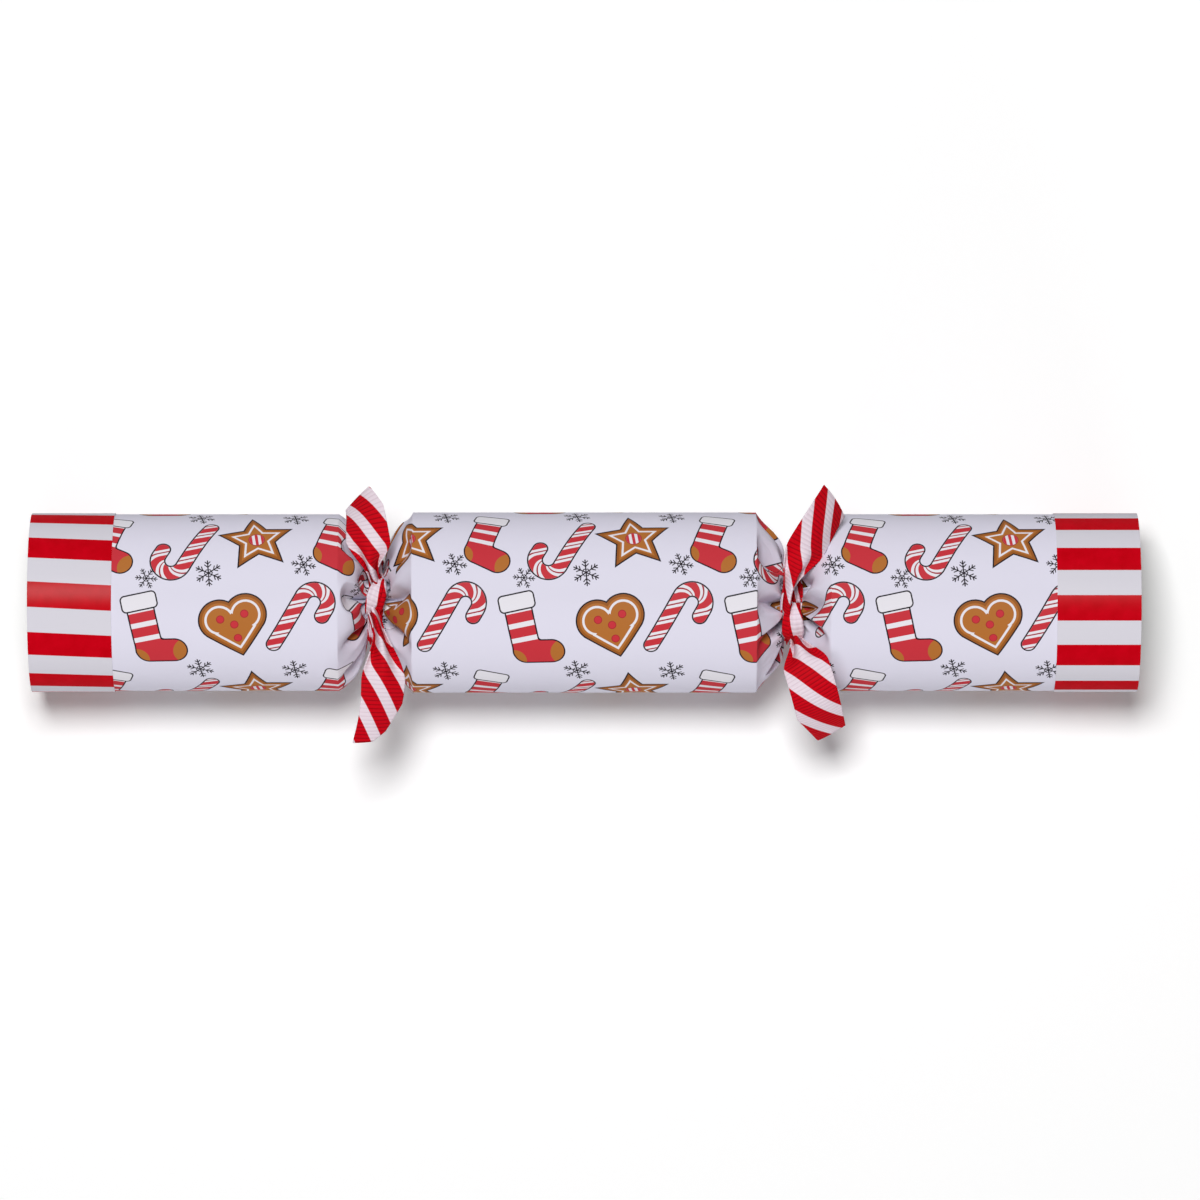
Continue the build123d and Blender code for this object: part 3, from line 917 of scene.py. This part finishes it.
# Ribbons
# Half-inch grosgrain ribbon with slanted red and white stripes, bunched round each neck and tied in a half
# knot: one strand crosses over the other, and two tails with slanting cut ends stand out from it.
ribbon_width = 12.7
ribbon_length = 165.0
ribbon_thickness = 0.28
stripe_pitch = 12.6
red_share = 0.57
stripe_slant = 1.5
woven_blur = 0.12
rib_pitch = 1.1
thread_pitch = 0.36
knot_distance = 14.1
knot_spread = 4.0
loop_radius = 11.25
loop_pleats = 5
tail_tuck = 3.0
bunched_share = 0.24
bunched_waves = 1.5


def ribbon_finish():
    """Grosgrain: slanted stripes by the ribbon's own map, cross ribs with painted shade in the grooves
    between them, and fine threads along its length."""
    material, shader, place = new_finish("ribbon_grosgrain", Roughness=0.75, Specular_IOR_Level=0.1)
    along, across = flat_map(place.tree).split()
    wave = (across * stripe_slant + along).step("PINGPONG", stripe_pitch / 2)
    red_half = red_share * stripe_pitch / 2
    white = wave.ramp(red_half - woven_blur, red_half + woven_blur)
    rib = along.step("PINGPONG", rib_pitch / 2).ramp(0.0, rib_pitch / 2)
    # Painted shade: the red and the white darken in the grooves between the ribs, where shade falls
    groove_shade = rib.ramp(0.0, 0.45, 1.0, 0.0)
    red = groove_shade.blend(tint(204, 1, 22), tint(150, 0, 14))
    pale = groove_shade.blend(tint(236, 220, 230), tint(223, 203, 214))
    white.blend(red, pale).feed(shader, "Base Color")
    thread = across.step("PINGPONG", thread_pitch / 2)
    grain_bump(shader, thread * 0.6 + rib, 0.7, 0.16)
    return material


def bezier(controls, share):
    """Points of a cubic Bezier line at shares of it."""
    a, b, c, d = (np.array(control, float) for control in controls)
    share = share[..., None]
    rest = 1 - share
    return a * rest**3 + 3 * b * share * rest**2 + 3 * c * share**2 * rest + d * share**3


def ribbon_strip(path, across, outward, along, width, fullness, curl):
    """Carry a ribbon's width along a path. Where it is bunched, to a share called its fullness, the rest
    of the width stands up in waves, whose height keeps the ribbon's width; curl bows it as a whole."""
    share = width / (ribbon_width / 2)
    number = 2 * np.pi * bunched_waves / ribbon_width
    height = np.sqrt(2 * np.maximum(1 - fullness**2, 0)) / number
    lift = height * np.cos(number * width) + curl * (1 - share**2)
    points = path + across * (fullness * width)[..., None] + outward * lift[..., None]
    return points, np.stack(np.broadcast_arrays(along, width), -1)


def ribbon_tail(x, turn, side, line, ends, roll, opens, curl, arch, tip, start, skew=0.0):
    """A tail: its middle line is a Bezier line seen from above, arched up from the knot, and its width
    opens out from the knot, rolls over, and ends in slanting cuts. Its print follows its true length from
    a start, and leans across its width by its skew."""
    rows, columns = 72, 41
    nudge = 0.01
    width = np.linspace(-1, 1, columns)[None] * ribbon_width / 2
    place, reach = np.transpose(ends)
    reach = np.interp(width, place * ribbon_width / 2, reach)
    along = np.linspace(0, 1, rows)[:, None] * (reach + tail_tuck) - tail_tuck
    fine = np.linspace(0, 1, 400)
    run = np.concatenate([[0], np.cumsum(np.linalg.norm(np.diff(bezier(line, fine), axis=0), axis=1))])
    share = np.minimum(np.interp(along, run, fine), 1 - nudge)
    flat = bezier(line, share)
    ahead = unit(bezier(line, share + nudge) - flat)
    past = np.maximum(along - np.interp(1 - nudge, fine, run), 0) + np.minimum(along, 0)
    flat = flat + ahead * past[..., None]
    knot = axis_height + knot_distance * np.cos(turn) - side * knot_spread * np.sin(turn)
    top, low = axis_height + arch, axis_height + tip

    def rise(part):
        return (knot * (4 * part - 3) + top * (4 - 8 * part) + low * (4 * part - 1)) / run[-1]

    part = along / run[-1]
    height = knot * (1 - part) * (1 - 2 * part) + top * 4 * part * (1 - part) + low * part * (2 * part - 1)
    steps = np.linspace(-0.2, 1.4, 641)
    true_run = np.cumsum(np.sqrt(1 + rise(steps) ** 2)) * (steps[1] - steps[0]) * run[-1]
    true_run -= np.interp(0, steps, true_run)
    forward = unit(np.concatenate([ahead, rise(part)[..., None]], -1))
    level = unit(np.cross(forward, (0, 0, 1)))
    upward = np.cross(level, forward)
    tilt = np.radians(roll[0] + (roll[1] - roll[0]) * smooth(part))[..., None]
    across = level * np.cos(tilt) - upward * np.sin(tilt)
    outward = level * np.sin(tilt) + upward * np.cos(tilt)
    opening = smooth((along - opens[0]) / (opens[1] - opens[0]))
    path = np.concatenate([flat, height[..., None]], -1) + (x, 0, 0)
    printed = np.interp(part, steps, true_run) + start + skew * width
    fullness = bunched_share + (1 - bunched_share) * opening
    return ribbon_strip(path, across, outward, printed, width + 0 * along, fullness, curl * opening)


def knot_strand(x, turn, length, half_width, foot, rise, depth, lean, shift, start):
    """A strand of the knot: it bows over the neck along the loop's own direction, leaning in X, as a
    rounded strip that is widest in the middle and tucks under at both ends."""
    rows, columns = 48, 25
    tucked, crease = 118, 0.16
    share = np.linspace(0, 1, rows)[:, None]
    bend = np.radians(np.linspace(-tucked, tucked, columns))[None]
    hump = np.sin(np.pi * share)
    reach = foot + rise * hump**0.8
    along = (share - 0.5) * length
    angle = turn + along / knot_distance
    slant = np.array([lean, 1.0]) / np.hypot(lean, 1.0)
    off = (half_width * hump**0.7 + 0.05) * np.sin(bend)
    out = reach + depth * hump**0.5 * (np.cos(bend) - 1)
    out = out + crease * hump * np.cos(5 * bend + 2 * share)
    around = angle - off * slant[0] / knot_distance
    points = np.stack([
        x + shift + along * lean + off * slant[1],
        out * np.sin(around),
        axis_height + out * np.cos(around),
    ], -1)
    return points, np.stack([along + start + 0 * bend, 2.0 * np.sin(bend) - 0.4 * along], -1)


def neck_loop(x, phase):
    """The bunched ribbon round the neck: a circle whose width stands in fine pleats."""
    turn = np.linspace(0, 2 * np.pi, 181)[:, None]
    width = np.linspace(-1, 1, 61)[None] * ribbon_width / 2
    wander = 0.35 * np.sin(3 * turn + phase) + 0.2 * np.sin(5 * turn)
    lift = 0.5 * np.cos(2 * np.pi * loop_pleats * width / ribbon_width + 0.8 * np.sin(2 * turn + phase))
    reach = loop_radius + lift
    along = x + wander * 0.6 + 0.33 * width
    points = np.stack([along, reach * np.sin(turn), axis_height + reach * np.cos(turn)], -1)
    printed = np.stack(np.broadcast_arrays(loop_radius * turn + phase, width), -1)
    return points[::-1], printed[::-1]


grosgrain = ribbon_finish()


def tied_ribbon(end_name, x, turn, upper, lower, front, back):
    """One ribbon: its loop, its two tails and the two strands of its knot, as one piece."""
    turn = np.radians(turn)
    grids = [
        neck_loop(x, 1.0),
        ribbon_tail(x, turn, 1, **upper),
        ribbon_tail(x, turn, -1, **lower),
        knot_strand(x, turn, foot=12.0, rise=4.2, depth=1.4, **back),
        knot_strand(x, turn, foot=13.0, rise=4.0, depth=1.0, **front),
    ]
    ribbon = new_sheet(end_name + "_tied_ribbon", grids, ribbon_thickness, [grosgrain])
    stand_for(ribbon, end_name + "_ribbon", end_name + "_end")
    lay_out(ribbon_width, ribbon_length, end_name + "_wrapper_sheet")


tied_ribbon(
    "left", -tie_middle, 8.0,
    upper=dict(
        line=[(0.3, 5.5), (-2.2, 11.0), (-1.0, 20.0), (-3.6, 29.0)],
        ends=[(-1, 23.6), (0.62, 24.4), (1, 19.5)], roll=(0.0, -36.0), opens=(2.0, 12.0),
        curl=0.6, arch=20.5, tip=17.0, start=13.8,
    ),
    lower=dict(
        line=[(-0.4, -2.5), (2.6, -11.0), (3.8, -22.0), (0.0, -36.0)],
        ends=[(-1, 25.5), (-0.4, 33.0), (0.1, 35.6), (1, 36.0)], roll=(0.0, -34.0), opens=(4.0, 20.0),
        curl=0.8, arch=20.5, tip=16.0, start=7.2,
    ),
    front=dict(length=10.5, half_width=1.6, lean=0.42, shift=-0.1, start=7.0),
    back=dict(length=12.0, half_width=1.9, lean=0.16, shift=0.9, start=0.5),
)
tied_ribbon(
    "right", tie_middle, -26.0,
    upper=dict(
        line=[(-2.0, -1.5), (-2.0, 6.5), (2.6, 14.6), (10.6, 27.4)],
        ends=[(-1, 32.6), (1, 32.4)], roll=(24.0, 42.0), opens=(4.0, 18.0),
        curl=0.8, arch=22.0, tip=19.0, start=0.7,
    ),
    lower=dict(
        line=[(0.4, -9.0), (2.2, -14.0), (5.2, -22.0), (8.4, -36.0)],
        ends=[(-1, 27.2), (0.3, 29.2), (1, 22.4)], roll=(0.0, 0.0), opens=(0.0, 9.0),
        curl=0.6, arch=20.5, tip=4.0, start=-3.6, skew=-0.25,
    ),
    front=dict(length=12.5, half_width=1.8, lean=-0.05, shift=0.7, start=5.4),
    back=dict(length=13.0, half_width=2.0, lean=0.05, shift=-0.9, start=0.5),
)


# Studio
# A white table top under a large soft lamp above and a little to the upper left, with a low soft lamp in
# front and an even fill, seen from straight above as in the photograph.
floor_half = 2000.0
floor_white = ((0.99, 0.99, 0.99, 1), (1, 1, 1, 1))
floor_bounce = (0.55, 0.55, 0.55, 1)
floor_lift = 0.05
fill_strength = 0.15
photo_pixels = 1200
photo_middle = (4.3, 0.7)

floor_finish, floor_shader, floor_place = new_finish(
    "white_table", Roughness=0.9, Specular_IOR_Level=0.1, Emission_Color=(1, 1, 1, 1))
floor_seen = put(floor_place.tree, "LightPath").output("Is Camera Ray")
floor_tone = floor_place.noise(5.0, 3.0, 0.5).blend(*floor_white)
floor_seen.blend(floor_bounce, floor_tone).feed(floor_shader, "Base Color")
(floor_seen * floor_lift).feed(floor_shader, "Emission Strength")
floor_corners = np.array([(-1, -1, 0), (1, -1, 0), (1, 1, 0), (-1, 1, 0)]) * floor_half
new_piece("table_top", floor_corners, [(0, 1, 2, 3)], [floor_finish])

for lamp_name, lamp_place, lamp_width, lamp_height, lamp_power in (
    ("soft_lamp", (-0.20, 0.66, 2.5), 0.75, 0.75, 55.4),
    ("low_front_lamp", (0.15, -2.40, 0.27), 1.6, 0.4, 25.5),
):
    lamp = new_object(lamp_name, bpy.data.lights.new(lamp_name, "AREA"))
    lamp.data.shape = "RECTANGLE"
    lamp.data.size = lamp_width
    lamp.data.size_y = lamp_height
    lamp.data.energy = lamp_power
    lamp.location = lamp_place
    lamp.rotation_mode = "QUATERNION"
    lamp.rotation_quaternion = (-lamp.location).to_track_quat("-Z", "Y")
    lamp.visible_glossy = lamp_name != "low_front_lamp"

# The fill lights the cracker faintly and is white where the camera sees past the table
world = bpy.data.worlds.new("even_fill")
world.use_nodes = True
fill = world.node_tree.nodes["Background"]
fill.inputs["Color"].default_value = (1, 1, 1, 1)
fill_seen = put(world.node_tree, "LightPath").output("Is Camera Ray")
(fill_seen * (1 - fill_strength) + fill_strength).feed(fill, "Strength")
bpy.context.scene.world = world

# The photograph's scale is 3.619 pixels to a millimetre at the cracker's axis, seen from 2.5 m
camera_height = 2500.0
photo_scale = 3.619
camera_data = bpy.data.cameras.new("camera")
camera_data.sensor_width = 36.0
camera_data.lens = photo_scale * (camera_height - axis_height) * camera_data.sensor_width / photo_pixels
camera_data.clip_end = 20.0
camera = new_object("camera", camera_data)
camera.location = np.array([*photo_middle, camera_height]) * MM
bpy.context.scene.camera = camera
bpy.context.scene.view_settings.view_transform = "Standard"
